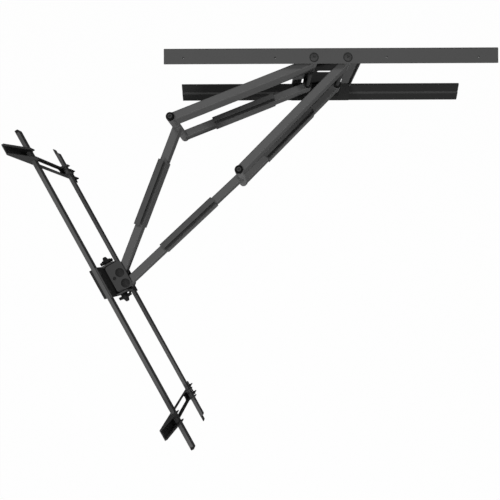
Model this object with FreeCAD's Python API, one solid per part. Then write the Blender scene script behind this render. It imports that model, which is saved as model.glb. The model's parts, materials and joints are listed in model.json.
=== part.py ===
# Full-motion wall mount for a large television: two folding gate arms on a wall frame,
# a tilting head with side knobs, two cross bars and two hook-on screen brackets.
# Frame: X along the wall, Y into the wall (wall face at Y = 0), Z up, millimetres.
# The origin lies on the wall, in the centre of the fixing slots of both rails.
import FreeCAD, Part
import math
import os

# Sheet and running clearances
SHEET = 3.0
BEND = 2.0
PLAY = 0.2
RUNNING_FIT = 0.05
SEAT_FIT = 0.02
OPEN_PIVOT_FIT = 0.8
TINY = 1e-6

# Wall frame
STUD_SPACING = 406.4
RAIL_END = 38.5
TOP_FLANGE_DEPTH = 42.0
TOP_LEG_HEIGHT = 62.0
LOWER_RAIL_DROP = 265.0
SLOPE_DEPTH = 25.0
SLOPE_FALL = 14.0
BEAD_DEPTH = 5.0
APRON_DEPTH = 17.5
APRON_FALL = 12.0
LOWER_LEG_HEIGHT = 81.0
FLANGE_HOLE_R = 2.5
FLANGE_HOLE_X = (149.0, 393.0)
FLANGE_HOLE_Y = -26.0
LAG_SLOT_DIAMETER = 10.0
LAG_SLOT_LENGTH = 30.0
LAG_MARGIN = 20.0
UPRIGHT_X = 62.5
UPRIGHT_WIDTH = 30.0
UPRIGHT_LIP = 12.0
SPINE_HALF_WIDTH = 57.0
SPINE_WINDOW_LENGTH = 46.0
SPINE_WINDOW_HEIGHT = 17.0
SPINE_WINDOW_DROP = 156.5
SPINE_FOOT_RISE = 11.0
SHELF_RISE = 14.6
SHELF_DEPTH = 48.0
SHELF_LEG = 10.0
SHELF_THICKNESS = 4.0

# Folding arms
SHOULDER_HALF_SPACING = 45.0
SHOULDER_Y = -26.5
UPPER_ARM_LENGTH = 415.0
FOREARM_LENGTH = 452.0
RIGHT_UPPER_ARM_ANGLE = 225.25
RIGHT_FOREARM_ANGLE = 223.0
BARREL_R = 12.0
PIN_R = 6.0
BUSH_WALL = 2.0
BUSH_FLANGE = 2.0
BUSH_LENGTH = 16.0
ARM_TUBE_WIDTH = 22.0
TOP_TUBE_HEIGHT = 51.0
TOP_TUBE_SINK = 11.8
LOWER_TUBE_HEIGHT = 40.0
ARM_TUBE_INSET = 2.0
FOREARM_TUBE_WIDTH = 23.0
FOREARM_TUBE_HEIGHT = 35.0
TUBE_WALL = 2.0
TUBE_CORNER = 3.0
FOREARM_DROP = 125.0
KNUCKLE_HEIGHT = 76.0
HEAD_KNUCKLE_HEIGHT = 46.0
BOLT_HEAD_R = 11.5
BOLT_DOME = 5.0
SOCKET_R = 4.0
SOCKET_DEPTH = 3.0
NUT_R = 10.0
NUT_HEIGHT = 8.0
ELBOW_CAP_R = 11.5
ELBOW_CAP_HEIGHT = 7.0

# Cable covers
COVER_LENGTH = 200.0
COVER_WALL = 2.5
COVER_CHAMBER = 7.0
COVER_SLOT = 9.0
COVER_CORNER = 4.0
UPPER_COVER_FROM_ELBOW = 203.0
FORE_COVER_FROM_ELBOW = 207.0

# Tilting head
HEAD_YAW = -61.3
HEAD_PIVOT_SPACING = 34.0
HEAD_PIVOT_SHIFT = 9.0
YOKE_HALF_WIDTH = 41.0
YOKE_PLATE = 4.0
YOKE_REAR = 17.0
YOKE_LOWER_REAR = 13.0
YOKE_FRONT = 32.0
YOKE_LOWER_FRONT = 24.0
YOKE_CORNER = 9.0
YOKE_LOWER_CORNER = 12.0
YOKE_WEB_GAP = 2.0
YOKE_WEB = 3.5
YOKE_EAR = 4.0
HEAD_CAP_R = 13.0
YOKE_SCREW_FORWARD = 21.0
YOKE_SCREW_R = 3.0
YOKE_SCREW_LENGTH = 10.0
YOKE_SCREW_HEAD_R = 5.0
YOKE_SCREW_HEAD = 2.5
AXLE_R = 5.0
AXLE_FORWARD = 27.0
SLEEVE_R = 8.5
CHEEK_GAP = 2.0
CHEEK = 4.0
CHEEK_HEIGHT = 66.0
CHEEK_REAR = 3.0
CHEEK_CORNER = 14.0
PLATE_FORWARD = 37.5
PLATE = 4.0
PLATE_TOP_DROP = 3.0
PLATE_WAIST = 62.0
PLATE_WAIST_RADIUS = 16.0
WASHER_R = 11.0
WASHER = 1.5
KNOB_R = 21.0
KNOB_VALLEY_R = 13.0
KNOB_LOBES = 5
KNOB_LOBE_ROUND = 3.0
KNOB_VALLEY_ROUND = 5.0
KNOB_THICKNESS = 9.0
KNOB_HUB_R = 10.0
KNOB_HUB = 4.0
KNOB_BOSS_R = 8.0
KNOB_BOSS = 11.0
KNOB_BOSS_TIP_R = 4.5
KNOB_BORE_DEPTH = 14.0

# Cross bars and their clamps
BAR_LENGTH = 1010.0
BAR_SHIFT = 19.0
BAR_DEPTH = 10.0
BAR_HEIGHT = 22.0
BAR_WALL = 2.0
UPPER_BAR_RISE = 77.0
LOWER_BAR_DROP = 162.0
LOWER_BAR_LIP = 3.0
LOWER_BAR_RETURN = 18.0
END_CAP = 9.0
END_CAP_PLUG = 12.0
CLAMP_LENGTH = 88.0
CLAMP_SHIFT = -2.5
CLAMP_LIP_HEIGHT = 19.0
CLAMP_JAW = 9.0
CLAMP_SCREW_R = 3.0
CLAMP_SCREW_HEAD_R = 5.5
CLAMP_SCREW_HEAD = 3.0
CLAMP_SCREW_SPACING = 56.0

# Screen brackets
BRACKET_END_DISTANCE = 91.0
BRACKET_SHIFT = 10.5
UPPER_TAIL = 110.0
LOWER_TAIL = 61.0
BRACKET_WIDTH = 30.0
BRACKET_SHEET = 2.5
BRACKET_PLAY = 0.3
BRACKET_STANDOFF = 7.0
BRACKET_TIP_DEPTH = 4.0
HOOK_DEPTH = 10.0
HOOK_DROP = 13.0
HOOK_RISE = 9.0
HOOK_LIFT = 15.0
MID_FLANGE_DEPTH = 7.0
TAIL_DEPTH = 15.0
WINDOW_WIDTH = 17.0
WINDOW_MARGIN = 18.0
SCREEN_HOLE_R = 3.3
SCREEN_HOLE_PITCH = 11.0
SCREEN_HOLE_COUNT = 6
SCREEN_HOLE_EDGE = 16.0
LOCK_SCREW_R = 2.5
LOCK_SCREW_TIP = 16.0
LOCK_HEAD_R = 4.5
LOCK_HEAD = 3.5
LOCK_SCREW_SETBACK = 9.0

# Derived lengths and levels
RAIL_LENGTH = 2 * (STUD_SPACING + RAIL_END)
RAIL_TOP_Z = (TOP_LEG_HEIGHT + LOWER_RAIL_DROP + LOWER_LEG_HEIGHT) / 2 - LAG_MARGIN
LOWER_RAIL_Z = RAIL_TOP_Z - LOWER_RAIL_DROP
BEAD_Z = LOWER_RAIL_Z - SLOPE_FALL
BEAD_FRONT_Y = -SLOPE_DEPTH - BEAD_DEPTH
APRON_FRONT = (BEAD_FRONT_Y - APRON_DEPTH, BEAD_Z - APRON_FALL)
SPINE_FOOT_Z = LOWER_RAIL_Z + SPINE_FOOT_RISE
SPINE_FOOT_HALF_WIDTH = UPRIGHT_X + UPRIGHT_WIDTH
SPINE_WINDOW_Z = RAIL_TOP_Z - SPINE_WINDOW_DROP
FOREARM_Z = RAIL_TOP_Z - FOREARM_DROP
UPPER_BAR_TOP_Z = FOREARM_Z + UPPER_BAR_RISE
LOWER_BAR_TOP_Z = FOREARM_Z - LOWER_BAR_DROP
LOWER_BAR_UNDER_Z = LOWER_BAR_TOP_Z - BAR_HEIGHT
FLANGE_UNDER_Z = RAIL_TOP_Z - SHEET
STRAP_TOP_Z = FLANGE_UNDER_Z - BEND
BARREL_TOP_Z = FLANGE_UNDER_Z - PLAY - BUSH_FLANGE
SHELF_TOP_Z = LOWER_RAIL_Z + SHELF_RISE
BARREL_BOTTOM_Z = SHELF_TOP_Z + PLAY + BUSH_FLANGE
KNUCKLE_TOP_Z = FOREARM_Z + KNUCKLE_HEIGHT / 2
KNUCKLE_BOTTOM_Z = FOREARM_Z - KNUCKLE_HEIGHT / 2
HEAD_KNUCKLE_TOP_Z = FOREARM_Z + HEAD_KNUCKLE_HEIGHT / 2
HEAD_KNUCKLE_BOTTOM_Z = FOREARM_Z - HEAD_KNUCKLE_HEIGHT / 2
YOKE_TOP_UNDER_Z = HEAD_KNUCKLE_TOP_Z + BUSH_FLANGE + PLAY
YOKE_BOTTOM_OVER_Z = HEAD_KNUCKLE_BOTTOM_Z - BUSH_FLANGE - PLAY
TOP_TUBE_Z = BARREL_TOP_Z - TOP_TUBE_SINK - TOP_TUBE_HEIGHT / 2
LOWER_TUBE_Z = BARREL_BOTTOM_Z + ARM_TUBE_INSET + LOWER_TUBE_HEIGHT / 2
TOP_BARREL_FOOT_Z = TOP_TUBE_Z - TOP_TUBE_HEIGHT / 2 - ARM_TUBE_INSET
LOWER_BARREL_HEAD_Z = LOWER_TUBE_Z + LOWER_TUBE_HEIGHT / 2 + ARM_TUBE_INSET
ELBOW_TOP_Z = TOP_TUBE_Z + TOP_TUBE_HEIGHT / 2 + ARM_TUBE_INSET
BAR_BACK_Y = -(PLATE_FORWARD + PLATE)
BAR_FRONT_Y = BAR_BACK_Y - BAR_DEPTH
BRACKET_BACK_Y = BAR_FRONT_Y - BRACKET_STANDOFF
BRACKET_TOP_Z = UPPER_BAR_TOP_Z + UPPER_TAIL
BRACKET_BOTTOM_Z = LOWER_BAR_UNDER_Z - LOWER_TAIL
HEAD_PIVOTS = (HEAD_PIVOT_SHIFT - HEAD_PIVOT_SPACING / 2, HEAD_PIVOT_SHIFT + HEAD_PIVOT_SPACING / 2)
CHEEK_INNER = YOKE_HALF_WIDTH + CHEEK_GAP
CHEEK_OUTER = CHEEK_INNER + CHEEK

X_AXIS = FreeCAD.Vector(1, 0, 0)
Z_AXIS = FreeCAD.Vector(0, 0, 1)
FORWARD = FreeCAD.Vector(0, -1, 0)
nodes = {}


# Basic shapes
def box(x, y, z):
    """A block between two values on each axis."""
    low = FreeCAD.Vector(min(x), min(y), min(z))
    return Part.makeBox(abs(x[1] - x[0]), abs(y[1] - y[0]), abs(z[1] - z[0]), low)


def post(radius, z0, z1, x=0.0, y=0.0):
    """An upright cylinder between two levels."""
    return Part.makeCylinder(radius, abs(z1 - z0), FreeCAD.Vector(x, y, min(z0, z1)))


def ring(outer, inner, z0, z1, x=0.0, y=0.0):
    """An upright tube between two levels."""
    return post(outer, z0, z1, x, y).cut(post(inner, z0, z1, x, y))


def cross_rod(radius, x0, x1, y, z):
    """A cylinder lying along X."""
    return Part.makeCylinder(radius, abs(x1 - x0), FreeCAD.Vector(min(x0, x1), y, z), X_AXIS)


def plane_point(point, plane):
    """A flat (a, b) point set in one of the three main planes."""
    a, b = point
    if plane == "yz":
        return FreeCAD.Vector(0, a, b)
    if plane == "xz":
        return FreeCAD.Vector(a, 0, b)
    return FreeCAD.Vector(a, b, 0)


def rounded_face(points, radii, plane):
    """A closed outline whose corners are rounded by the radius given for each."""
    count = len(points)
    corners = []
    for i in range(count):
        here = FreeCAD.Vector(*points[i], 0)
        before = (FreeCAD.Vector(*points[i - 1], 0) - here).normalize()
        after = (FreeCAD.Vector(*points[(i + 1) % count], 0) - here).normalize()
        half = before.getAngle(after) / 2
        if radii[i] <= 0:
            corners.append((here, None, here))
            continue
        reach = radii[i] / math.tan(half)
        middle = here + (before + after).normalize() * (radii[i] / math.sin(half) - radii[i])
        corners.append((here + before * reach, middle, here + after * reach))
    edges = []
    for i in range(count):
        start, middle, end = corners[i]
        if middle is not None:
            bend = [plane_point((p.x, p.y), plane) for p in (start, middle, end)]
            edges.append(Part.Arc(*bend).toShape())
        following = corners[(i + 1) % count][0]
        if end.distanceToPoint(following) > TINY:
            run = [plane_point((p.x, p.y), plane) for p in (end, following)]
            edges.append(Part.LineSegment(*run).toShape())
    return Part.Face(Part.Wire(edges))


def shifted_path(points, distance):
    """The path moved to the left of its own direction, with mitred corners."""
    moved = []
    for i, here in enumerate(points):
        here = FreeCAD.Vector(*here, 0)
        sides = []
        if i > 0:
            step = here - FreeCAD.Vector(*points[i - 1], 0)
            sides.append(FreeCAD.Vector(-step.y, step.x, 0).normalize())
        if i < len(points) - 1:
            step = FreeCAD.Vector(*points[i + 1], 0) - here
            sides.append(FreeCAD.Vector(-step.y, step.x, 0).normalize())
        total = sides[0] + sides[-1]
        moved.append(here + total * (2 * distance / total.dot(total)))
    return [(p.x, p.y) for p in moved]


def folded_section(points, thickness, plane):
    """The section of a folded sheet that lies to the left of a path."""
    other = shifted_path(points, thickness)
    near = [0.0] * len(points)
    far = [0.0] * len(points)
    for i in range(1, len(points) - 1):
        ax, ay = points[i][0] - points[i - 1][0], points[i][1] - points[i - 1][1]
        bx, by = points[i + 1][0] - points[i][0], points[i + 1][1] - points[i][1]
        turns_left = ax * by - ay * bx > 0
        near[i] = BEND + thickness if turns_left else BEND
        far[i] = BEND if turns_left else BEND + thickness
    return rounded_face(points + other[::-1], near + far[::-1], plane)


def slot_through_y(x, z, length, diameter, y0, y1):
    """A round-ended cutter along Y, longer along X."""
    half, r = length / 2, diameter / 2
    outline = [(x - half, z - r), (x + half, z - r), (x + half, z + r), (x - half, z + r)]
    face = rounded_face(outline, [r] * 4, "xz")
    face.translate(FreeCAD.Vector(0, min(y0, y1), 0))
    return face.extrude(FreeCAD.Vector(0, abs(y1 - y0), 0))


def hexagon(radius, z0, z1, x=0.0, y=0.0):
    """A six-sided prism standing on Z."""
    corners = []
    for i in range(6):
        turn = math.radians(60 * i)
        corners.append((x + radius * math.cos(turn), y + radius * math.sin(turn)))
    face = rounded_face(corners, [0] * 6, "xy")
    face.translate(FreeCAD.Vector(0, 0, min(z0, z1)))
    return face.extrude(FreeCAD.Vector(0, 0, abs(z1 - z0)))


def dome(radius, height, z):
    """A shallow spherical button standing on a level."""
    rim = FreeCAD.Vector(radius, 0, z)
    top = FreeCAD.Vector(0, 0, z + height)
    sphere = (radius ** 2 + height ** 2) / (2 * height)
    half = math.atan2(radius, sphere - height) / 2
    centre_z = z + height - sphere
    middle = FreeCAD.Vector(sphere * math.sin(half), 0, centre_z + sphere * math.cos(half))
    foot = FreeCAD.Vector(0, 0, z)
    edges = [Part.LineSegment(foot, rim).toShape(), Part.Arc(rim, middle, top).toShape()]
    edges.append(Part.LineSegment(top, foot).toShape())
    return Part.Face(Part.Wire(edges)).revolve(FreeCAD.Vector(), Z_AXIS, 360)


def placed(shape, origin, angle):
    """A shape turned about Z and moved to a pivot."""
    turned = shape.copy()
    turned.rotate(FreeCAD.Vector(), Z_AXIS, angle)
    turned.translate(FreeCAD.Vector(origin[0], origin[1], 0))
    return turned


# Wall frame
def lag_slots(z, y0, y1):
    """Fixing slots along a rail's wall leg: an inner pair and an outer pair, each on studs."""
    slots = []
    for x in (STUD_SPACING / 2, STUD_SPACING):
        for side in (-1, 1):
            slots.append(slot_through_y(side * x, z, LAG_SLOT_LENGTH, LAG_SLOT_DIAMETER, y0, y1))
    return Part.makeCompound(slots)


def top_wall_rail():
    """An angle: its wall leg hangs down, its flange carries the shoulder bolts."""
    foot = RAIL_TOP_Z - TOP_LEG_HEIGHT
    path = [(0, foot), (0, RAIL_TOP_Z), (-TOP_FLANGE_DEPTH, RAIL_TOP_Z)]
    rail = folded_section(path, SHEET, "yz").extrude(FreeCAD.Vector(RAIL_LENGTH, 0, 0))
    rail.translate(FreeCAD.Vector(-RAIL_LENGTH / 2, 0, 0))
    holes = []
    for side in (-1, 1):
        for x in FLANGE_HOLE_X:
            holes.append(post(FLANGE_HOLE_R, FLANGE_UNDER_Z, RAIL_TOP_Z, side * x, FLANGE_HOLE_Y))
        bolt_x = side * SHOULDER_HALF_SPACING
        holes.append(post(PIN_R + SEAT_FIT, FLANGE_UNDER_Z, RAIL_TOP_Z, bolt_x, SHOULDER_Y))
    return rail.cut(Part.makeCompound(holes)).cut(lag_slots(foot + LAG_MARGIN, 0, -SHEET))


def bottom_wall_rail():
    """A wall leg with a flange that slopes down to the front, with a flat bead along its middle."""
    foot = LOWER_RAIL_Z - LOWER_LEG_HEIGHT
    path = [(0, foot), (0, LOWER_RAIL_Z), (-SLOPE_DEPTH, BEAD_Z), (BEAD_FRONT_Y, BEAD_Z), APRON_FRONT]
    rail = folded_section(path, SHEET, "yz").extrude(FreeCAD.Vector(RAIL_LENGTH, 0, 0))
    rail.translate(FreeCAD.Vector(-RAIL_LENGTH / 2, 0, 0))
    return rail.cut(lag_slots(foot + LAG_MARGIN, 0, -SHEET))


def upright(side):
    """A strap with a stiffening lip on its outer edge, from the spine's foot to the top rail."""
    outer = UPRIGHT_X + UPRIGHT_WIDTH
    path = [(outer, -SHEET - UPRIGHT_LIP), (outer, -SHEET), (UPRIGHT_X, -SHEET)]
    section = folded_section(path, SHEET, "xy")
    section.translate(FreeCAD.Vector(0, 0, SPINE_FOOT_Z))
    strap = section.extrude(FreeCAD.Vector(0, 0, STRAP_TOP_Z - SPINE_FOOT_Z))
    return strap if side > 0 else strap.mirror(FreeCAD.Vector(), X_AXIS)


def pivot_spine():
    """The plate that backs the shoulders: a cable window, and a wide foot bent over the lower rail."""
    y = (-SHEET, -2 * SHEET)
    path = [APRON_FRONT, (BEAD_FRONT_Y, BEAD_Z), (-SHEET, LOWER_RAIL_Z), (-SHEET, STRAP_TOP_Z)]
    plate = folded_section(path, SHEET, "yz").extrude(FreeCAD.Vector(2 * SPINE_FOOT_HALF_WIDTH, 0, 0))
    plate.translate(FreeCAD.Vector(-SPINE_FOOT_HALF_WIDTH, 0, 0))
    for side in (-1, 1):
        beside = (side * SPINE_HALF_WIDTH, side * SPINE_FOOT_HALF_WIDTH)
        plate = plate.cut(box(beside, y, (SPINE_FOOT_Z, STRAP_TOP_Z)))
    return plate.cut(slot_through_y(0, SPINE_WINDOW_Z, SPINE_WINDOW_LENGTH, SPINE_WINDOW_HEIGHT, *y))


def pivot_shelf():
    """The lower bearing for both shoulders: a shelf with a short leg down the spine."""
    back = -2 * SHEET
    path = [(back, SHELF_TOP_Z - SHELF_LEG), (back, SHELF_TOP_Z), (-SHELF_DEPTH, SHELF_TOP_Z)]
    shelf = folded_section(path, SHELF_THICKNESS, "yz")
    shelf = shelf.extrude(FreeCAD.Vector(2 * SPINE_HALF_WIDTH, 0, 0))
    shelf.translate(FreeCAD.Vector(-SPINE_HALF_WIDTH, 0, 0))
    for x in (-SHOULDER_HALF_SPACING, SHOULDER_HALF_SPACING):
        shelf = shelf.cut(post(PIN_R + SEAT_FIT, SHELF_TOP_Z, SHELF_TOP_Z - SHELF_THICKNESS, x, SHOULDER_Y))
    return shelf


def socket_recess(z):
    """The hexagonal drive recess in a bolt head whose crown is at a level."""
    return hexagon(SOCKET_R, z - SOCKET_DEPTH, z)


def shoulder_bolt():
    """A button-head bolt from the top rail down through both barrels and the shelf."""
    crown = RAIL_TOP_Z + BOLT_DOME
    tip = SHELF_TOP_Z - SHELF_THICKNESS - NUT_HEIGHT
    bolt = post(PIN_R, tip, RAIL_TOP_Z).fuse(dome(BOLT_HEAD_R, BOLT_DOME, RAIL_TOP_Z))
    return bolt.cut(socket_recess(crown)).removeSplitter()


def nut(z_top):
    """A plain hexagon nut hanging under a level."""
    body = hexagon(NUT_R, z_top - NUT_HEIGHT, z_top)
    return body.cut(post(PIN_R + SEAT_FIT, z_top - NUT_HEIGHT, z_top))


def build_wall_frame():
    nodes["top_wall_rail"] = top_wall_rail()
    nodes["bottom_wall_rail"] = bottom_wall_rail()
    nodes["pivot_spine"] = pivot_spine()
    nodes["pivot_shelf"] = pivot_shelf()
    nuts = []
    for name, side in (("left", -1), ("right", 1)):
        shoulder = (side * SHOULDER_HALF_SPACING, SHOULDER_Y)
        nodes[name + "_upright"] = upright(side)
        nodes[name + "_shoulder_bolt"] = placed(shoulder_bolt(), shoulder, 0)
        nuts.append(placed(nut(SHELF_TOP_Z - SHELF_THICKNESS), shoulder, 0))
    nodes["shoulder_nuts"] = Part.makeCompound(nuts)


# Arm pieces, each along +X from the pivot nearest the wall
def bush_pair(z_bottom, z_top, fit, x=0.0):
    """Two flanged plastic bushes, one in each end of a barrel."""
    inner = PIN_R + fit
    bushes = []
    for z, into in ((z_top, -1), (z_bottom, 1)):
        sleeve = ring(inner + BUSH_WALL, inner, z, z + into * BUSH_LENGTH, x)
        flange = ring(BARREL_R, inner, z, z - into * BUSH_FLANGE, x)
        bushes.append(sleeve.fuse(flange).removeSplitter())
    return Part.makeCompound(bushes)


def bored_barrel(z_bottom, z_top, fit, x=0.0):
    """A turned barrel, bored for a pair of bushes with a given pin clearance."""
    return ring(BARREL_R, PIN_R + fit + BUSH_WALL + SEAT_FIT, z_bottom, z_top, x)


def rectangular_tube(width, height, z, x0, x1):
    """A hollow tube along X with rounded outer corners."""
    half = width / 2
    low, high = z - height / 2, z + height / 2
    outline = [(-half, low), (half, low), (half, high), (-half, high)]
    outer = rounded_face(outline, [TUBE_CORNER] * 4, "yz").extrude(FreeCAD.Vector(x1 - x0, 0, 0))
    outer.translate(FreeCAD.Vector(x0, 0, 0))
    inside_y = (-half + TUBE_WALL, half - TUBE_WALL)
    inside_z = (low + TUBE_WALL, high - TUBE_WALL)
    return outer.cut(box((x0, x1), inside_y, inside_z))


def coped_tube(width, height, z, length):
    """A tube whose two ends are cut to sit against round barrels at its pivots."""
    tube = rectangular_tube(width, height, z, 0, length)
    for x in (0, length):
        tube = tube.cut(post(BARREL_R, z - height, z + height, x))
    return tube


def cable_cover(width, height, z, centre):
    """A snap-on channel round a tube: a cable space on top, open along one corner."""
    inner_half = width / 2 + PLAY
    outer_half = inner_half + COVER_WALL
    bottom = z - height / 2 - PLAY
    top = z + height / 2 + COVER_CHAMBER
    x0, x1 = centre - COVER_LENGTH / 2, centre + COVER_LENGTH / 2
    low, high = bottom - COVER_WALL, top + COVER_WALL
    outline = [(-outer_half, low), (outer_half, low), (outer_half, high), (-outer_half, high)]
    shell = rounded_face(outline, [COVER_CORNER] * 4, "yz").extrude(FreeCAD.Vector(COVER_LENGTH, 0, 0))
    shell.translate(FreeCAD.Vector(x0, 0, 0))
    shell = shell.cut(box((x0, x1), (-inner_half, inner_half), (bottom, top)))
    return shell.cut(box((x0, x1), (inner_half - COVER_SLOT, inner_half), (top, high)))


def shoulder_barrels():
    """Two short barrels on the shoulder bolt, one at each tube, and the four bushes in them."""
    top = (TOP_BARREL_FOOT_Z, BARREL_TOP_Z, RUNNING_FIT)
    lower = (BARREL_BOTTOM_Z, LOWER_BARREL_HEAD_Z, RUNNING_FIT)
    barrels = Part.makeCompound([bored_barrel(*top), bored_barrel(*lower)])
    bushes = Part.makeCompound(bush_pair(*top).Solids + bush_pair(*lower).Solids)
    return barrels, bushes


def elbow_socket(z0, z1):
    """A short barrel at the outer end of an upper arm, bored for the elbow pin."""
    return ring(BARREL_R, PIN_R + SEAT_FIT, z0, z1, UPPER_ARM_LENGTH)


def elbow_pin():
    """The elbow's long pin, with a recessed crown above and a domed foot below."""
    crown = ELBOW_TOP_Z + ELBOW_CAP_HEIGHT
    pin = post(PIN_R, BARREL_BOTTOM_Z, crown).cut(socket_recess(crown))
    foot = dome(BOLT_HEAD_R, BOLT_DOME, 0)
    foot.rotate(FreeCAD.Vector(), X_AXIS, 180)
    foot.translate(FreeCAD.Vector(0, 0, BARREL_BOTTOM_Z))
    return placed(pin.fuse(foot).removeSplitter(), (UPPER_ARM_LENGTH, 0), 0)


def elbow_cap():
    """A black ring that trims the top of the elbow round the pin."""
    z0, z1 = ELBOW_TOP_Z, ELBOW_TOP_Z + ELBOW_CAP_HEIGHT
    blank = post(ELBOW_CAP_R, z0, z1)
    rim = [e for e in blank.Edges if e.BoundBox.ZMin > z1 - PLAY]
    blank = blank.makeFillet(ELBOW_CAP_HEIGHT / 2, rim)
    return placed(blank.cut(post(PIN_R + SEAT_FIT, z0, z1)), (UPPER_ARM_LENGTH, 0), 0)


def upper_arm_pieces():
    """The gate: shoulder barrels, two tubes, two elbow sockets, pin, cap, bushes, cover."""
    gap = BUSH_FLANGE + PLAY
    top = (ARM_TUBE_WIDTH, TOP_TUBE_HEIGHT, TOP_TUBE_Z)
    lower = (ARM_TUBE_WIDTH, LOWER_TUBE_HEIGHT, LOWER_TUBE_Z)
    barrels, bushes = shoulder_barrels()
    cover_x = UPPER_ARM_LENGTH - UPPER_COVER_FROM_ELBOW
    return {
        "shoulder_barrel": barrels,
        "upper_arm_top_tube": coped_tube(*top, UPPER_ARM_LENGTH),
        "upper_arm_lower_tube": coped_tube(*lower, UPPER_ARM_LENGTH),
        "elbow_top_socket": elbow_socket(KNUCKLE_TOP_Z + gap, ELBOW_TOP_Z),
        "elbow_lower_socket": elbow_socket(BARREL_BOTTOM_Z, KNUCKLE_BOTTOM_Z - gap),
        "elbow_pin": elbow_pin(),
        "elbow_cap": elbow_cap(),
        "shoulder_bushes": bushes,
        "upper_arm_cover": cable_cover(*lower, cover_x),
    }


def forearm_pieces(head_fit):
    """The outer link: elbow knuckle, tube, head knuckle, their bushes and the cover."""
    tube = (FOREARM_TUBE_WIDTH, FOREARM_TUBE_HEIGHT)
    elbow = (KNUCKLE_BOTTOM_Z, KNUCKLE_TOP_Z, RUNNING_FIT)
    head = (HEAD_KNUCKLE_BOTTOM_Z, HEAD_KNUCKLE_TOP_Z, head_fit, FOREARM_LENGTH)
    return {
        "elbow_knuckle": bored_barrel(*elbow),
        "elbow_bushes": bush_pair(*elbow),
        "forearm_tube": coped_tube(*tube, FOREARM_Z, FOREARM_LENGTH),
        "head_knuckle": bored_barrel(*head),
        "head_bushes": bush_pair(*head),
        "forearm_cover": cable_cover(*tube, FOREARM_Z, FORE_COVER_FROM_ELBOW),
    }


# Pose of the two arms, as the mount stands
def along(start, angle, length):
    """The point at a distance and a direction from a start."""
    turn = math.radians(angle)
    return (start[0] + length * math.cos(turn), start[1] + length * math.sin(turn))


def bearing(start, end):
    """The direction from one point to another, in degrees."""
    return math.degrees(math.atan2(end[1] - start[1], end[0] - start[0]))


def pose():
    """Every pivot in plan: the right arm and the head are set, the left elbow follows."""
    left_shoulder = (-SHOULDER_HALF_SPACING, SHOULDER_Y)
    right_shoulder = (SHOULDER_HALF_SPACING, SHOULDER_Y)
    right_elbow = along(right_shoulder, RIGHT_UPPER_ARM_ANGLE, UPPER_ARM_LENGTH)
    right_head = along(right_elbow, RIGHT_FOREARM_ANGLE, FOREARM_LENGTH)
    left_head = along(right_head, HEAD_YAW, -HEAD_PIVOT_SPACING)
    span = math.dist(left_shoulder, left_head)
    cosine = (UPPER_ARM_LENGTH ** 2 + span ** 2 - FOREARM_LENGTH ** 2) / (2 * UPPER_ARM_LENGTH * span)
    left_angle = bearing(left_shoulder, left_head) - math.degrees(math.acos(cosine))
    left_elbow = along(left_shoulder, left_angle, UPPER_ARM_LENGTH)
    head = along(left_head, HEAD_YAW, -HEAD_PIVOTS[0])
    return {
        "left": (left_shoulder, left_elbow, left_head),
        "right": (right_shoulder, right_elbow, right_head),
        "head": head,
    }


def build_arms(pivots):
    for side, head_fit in (("left", RUNNING_FIT), ("right", OPEN_PIVOT_FIT)):
        shoulder, elbow, head = pivots[side]
        for name, shape in upper_arm_pieces().items():
            nodes[side + "_" + name] = placed(shape, shoulder, bearing(shoulder, elbow))
        for name, shape in forearm_pieces(head_fit).items():
            nodes[side + "_" + name] = placed(shape, elbow, bearing(elbow, head))


# Tilting head, in its own frame: bars along X, screen towards -Y, pivots at Y = 0,
# with X = 0 midway between the cheeks
def yoke_plate(front, rear, corner, z0, z1):
    """One of the two plates that hold the forearm knuckles between them."""
    w = YOKE_HALF_WIDTH
    outline = [(-w, -front), (w, -front), (w, rear), (-w, rear)]
    face = rounded_face(outline, [YOKE_CORNER, YOKE_CORNER, corner, corner], "xy")
    face.translate(FreeCAD.Vector(0, 0, z0))
    plate = face.extrude(FreeCAD.Vector(0, 0, z1 - z0))
    for x in HEAD_PIVOTS:
        plate = plate.cut(post(PIN_R + SEAT_FIT, z0, z1, x))
    return plate


def head_yoke():
    """Two plates, the web between them and two ears bored for the tilt axle."""
    top_z = (YOKE_TOP_UNDER_Z, YOKE_TOP_UNDER_Z + YOKE_PLATE)
    bottom_z = (YOKE_BOTTOM_OVER_Z - YOKE_PLATE, YOKE_BOTTOM_OVER_Z)
    top = yoke_plate(YOKE_FRONT, YOKE_REAR, YOKE_CORNER, *top_z)
    bottom = yoke_plate(YOKE_LOWER_FRONT, YOKE_LOWER_REAR, YOKE_LOWER_CORNER, *bottom_z)
    inside = (YOKE_BOTTOM_OVER_Z, YOKE_TOP_UNDER_Z)
    web_y = -BARREL_R - YOKE_WEB_GAP
    ear_inner = YOKE_HALF_WIDTH - YOKE_EAR
    web = box((-ear_inner, ear_inner), (web_y, web_y - YOKE_WEB), inside)
    yoke = top.fuse([bottom, web])
    for side in (-1, 1):
        ear = box((side * ear_inner, side * YOKE_HALF_WIDTH), (web_y, -AXLE_FORWARD), inside)
        nose = cross_rod(SLEEVE_R, side * ear_inner, side * YOKE_HALF_WIDTH, -AXLE_FORWARD, FOREARM_Z)
        yoke = yoke.fuse([ear, nose])
    bore = cross_rod(AXLE_R + RUNNING_FIT, -YOKE_HALF_WIDTH, YOKE_HALF_WIDTH, -AXLE_FORWARD, FOREARM_Z)
    screw_hole = post(YOKE_SCREW_R + SEAT_FIT, *top_z, 0, -YOKE_SCREW_FORWARD)
    return yoke.cut([bore, screw_hole]).removeSplitter()


def yoke_screw():
    """The button-head screw in the top plate, above the tilt sleeve."""
    seat = YOKE_TOP_UNDER_Z + YOKE_PLATE
    shank = post(YOKE_SCREW_R, seat - YOKE_SCREW_LENGTH, seat)
    screw = shank.fuse(dome(YOKE_SCREW_HEAD_R, YOKE_SCREW_HEAD, seat)).removeSplitter()
    return placed(screw, (0, -YOKE_SCREW_FORWARD), 0)


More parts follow.
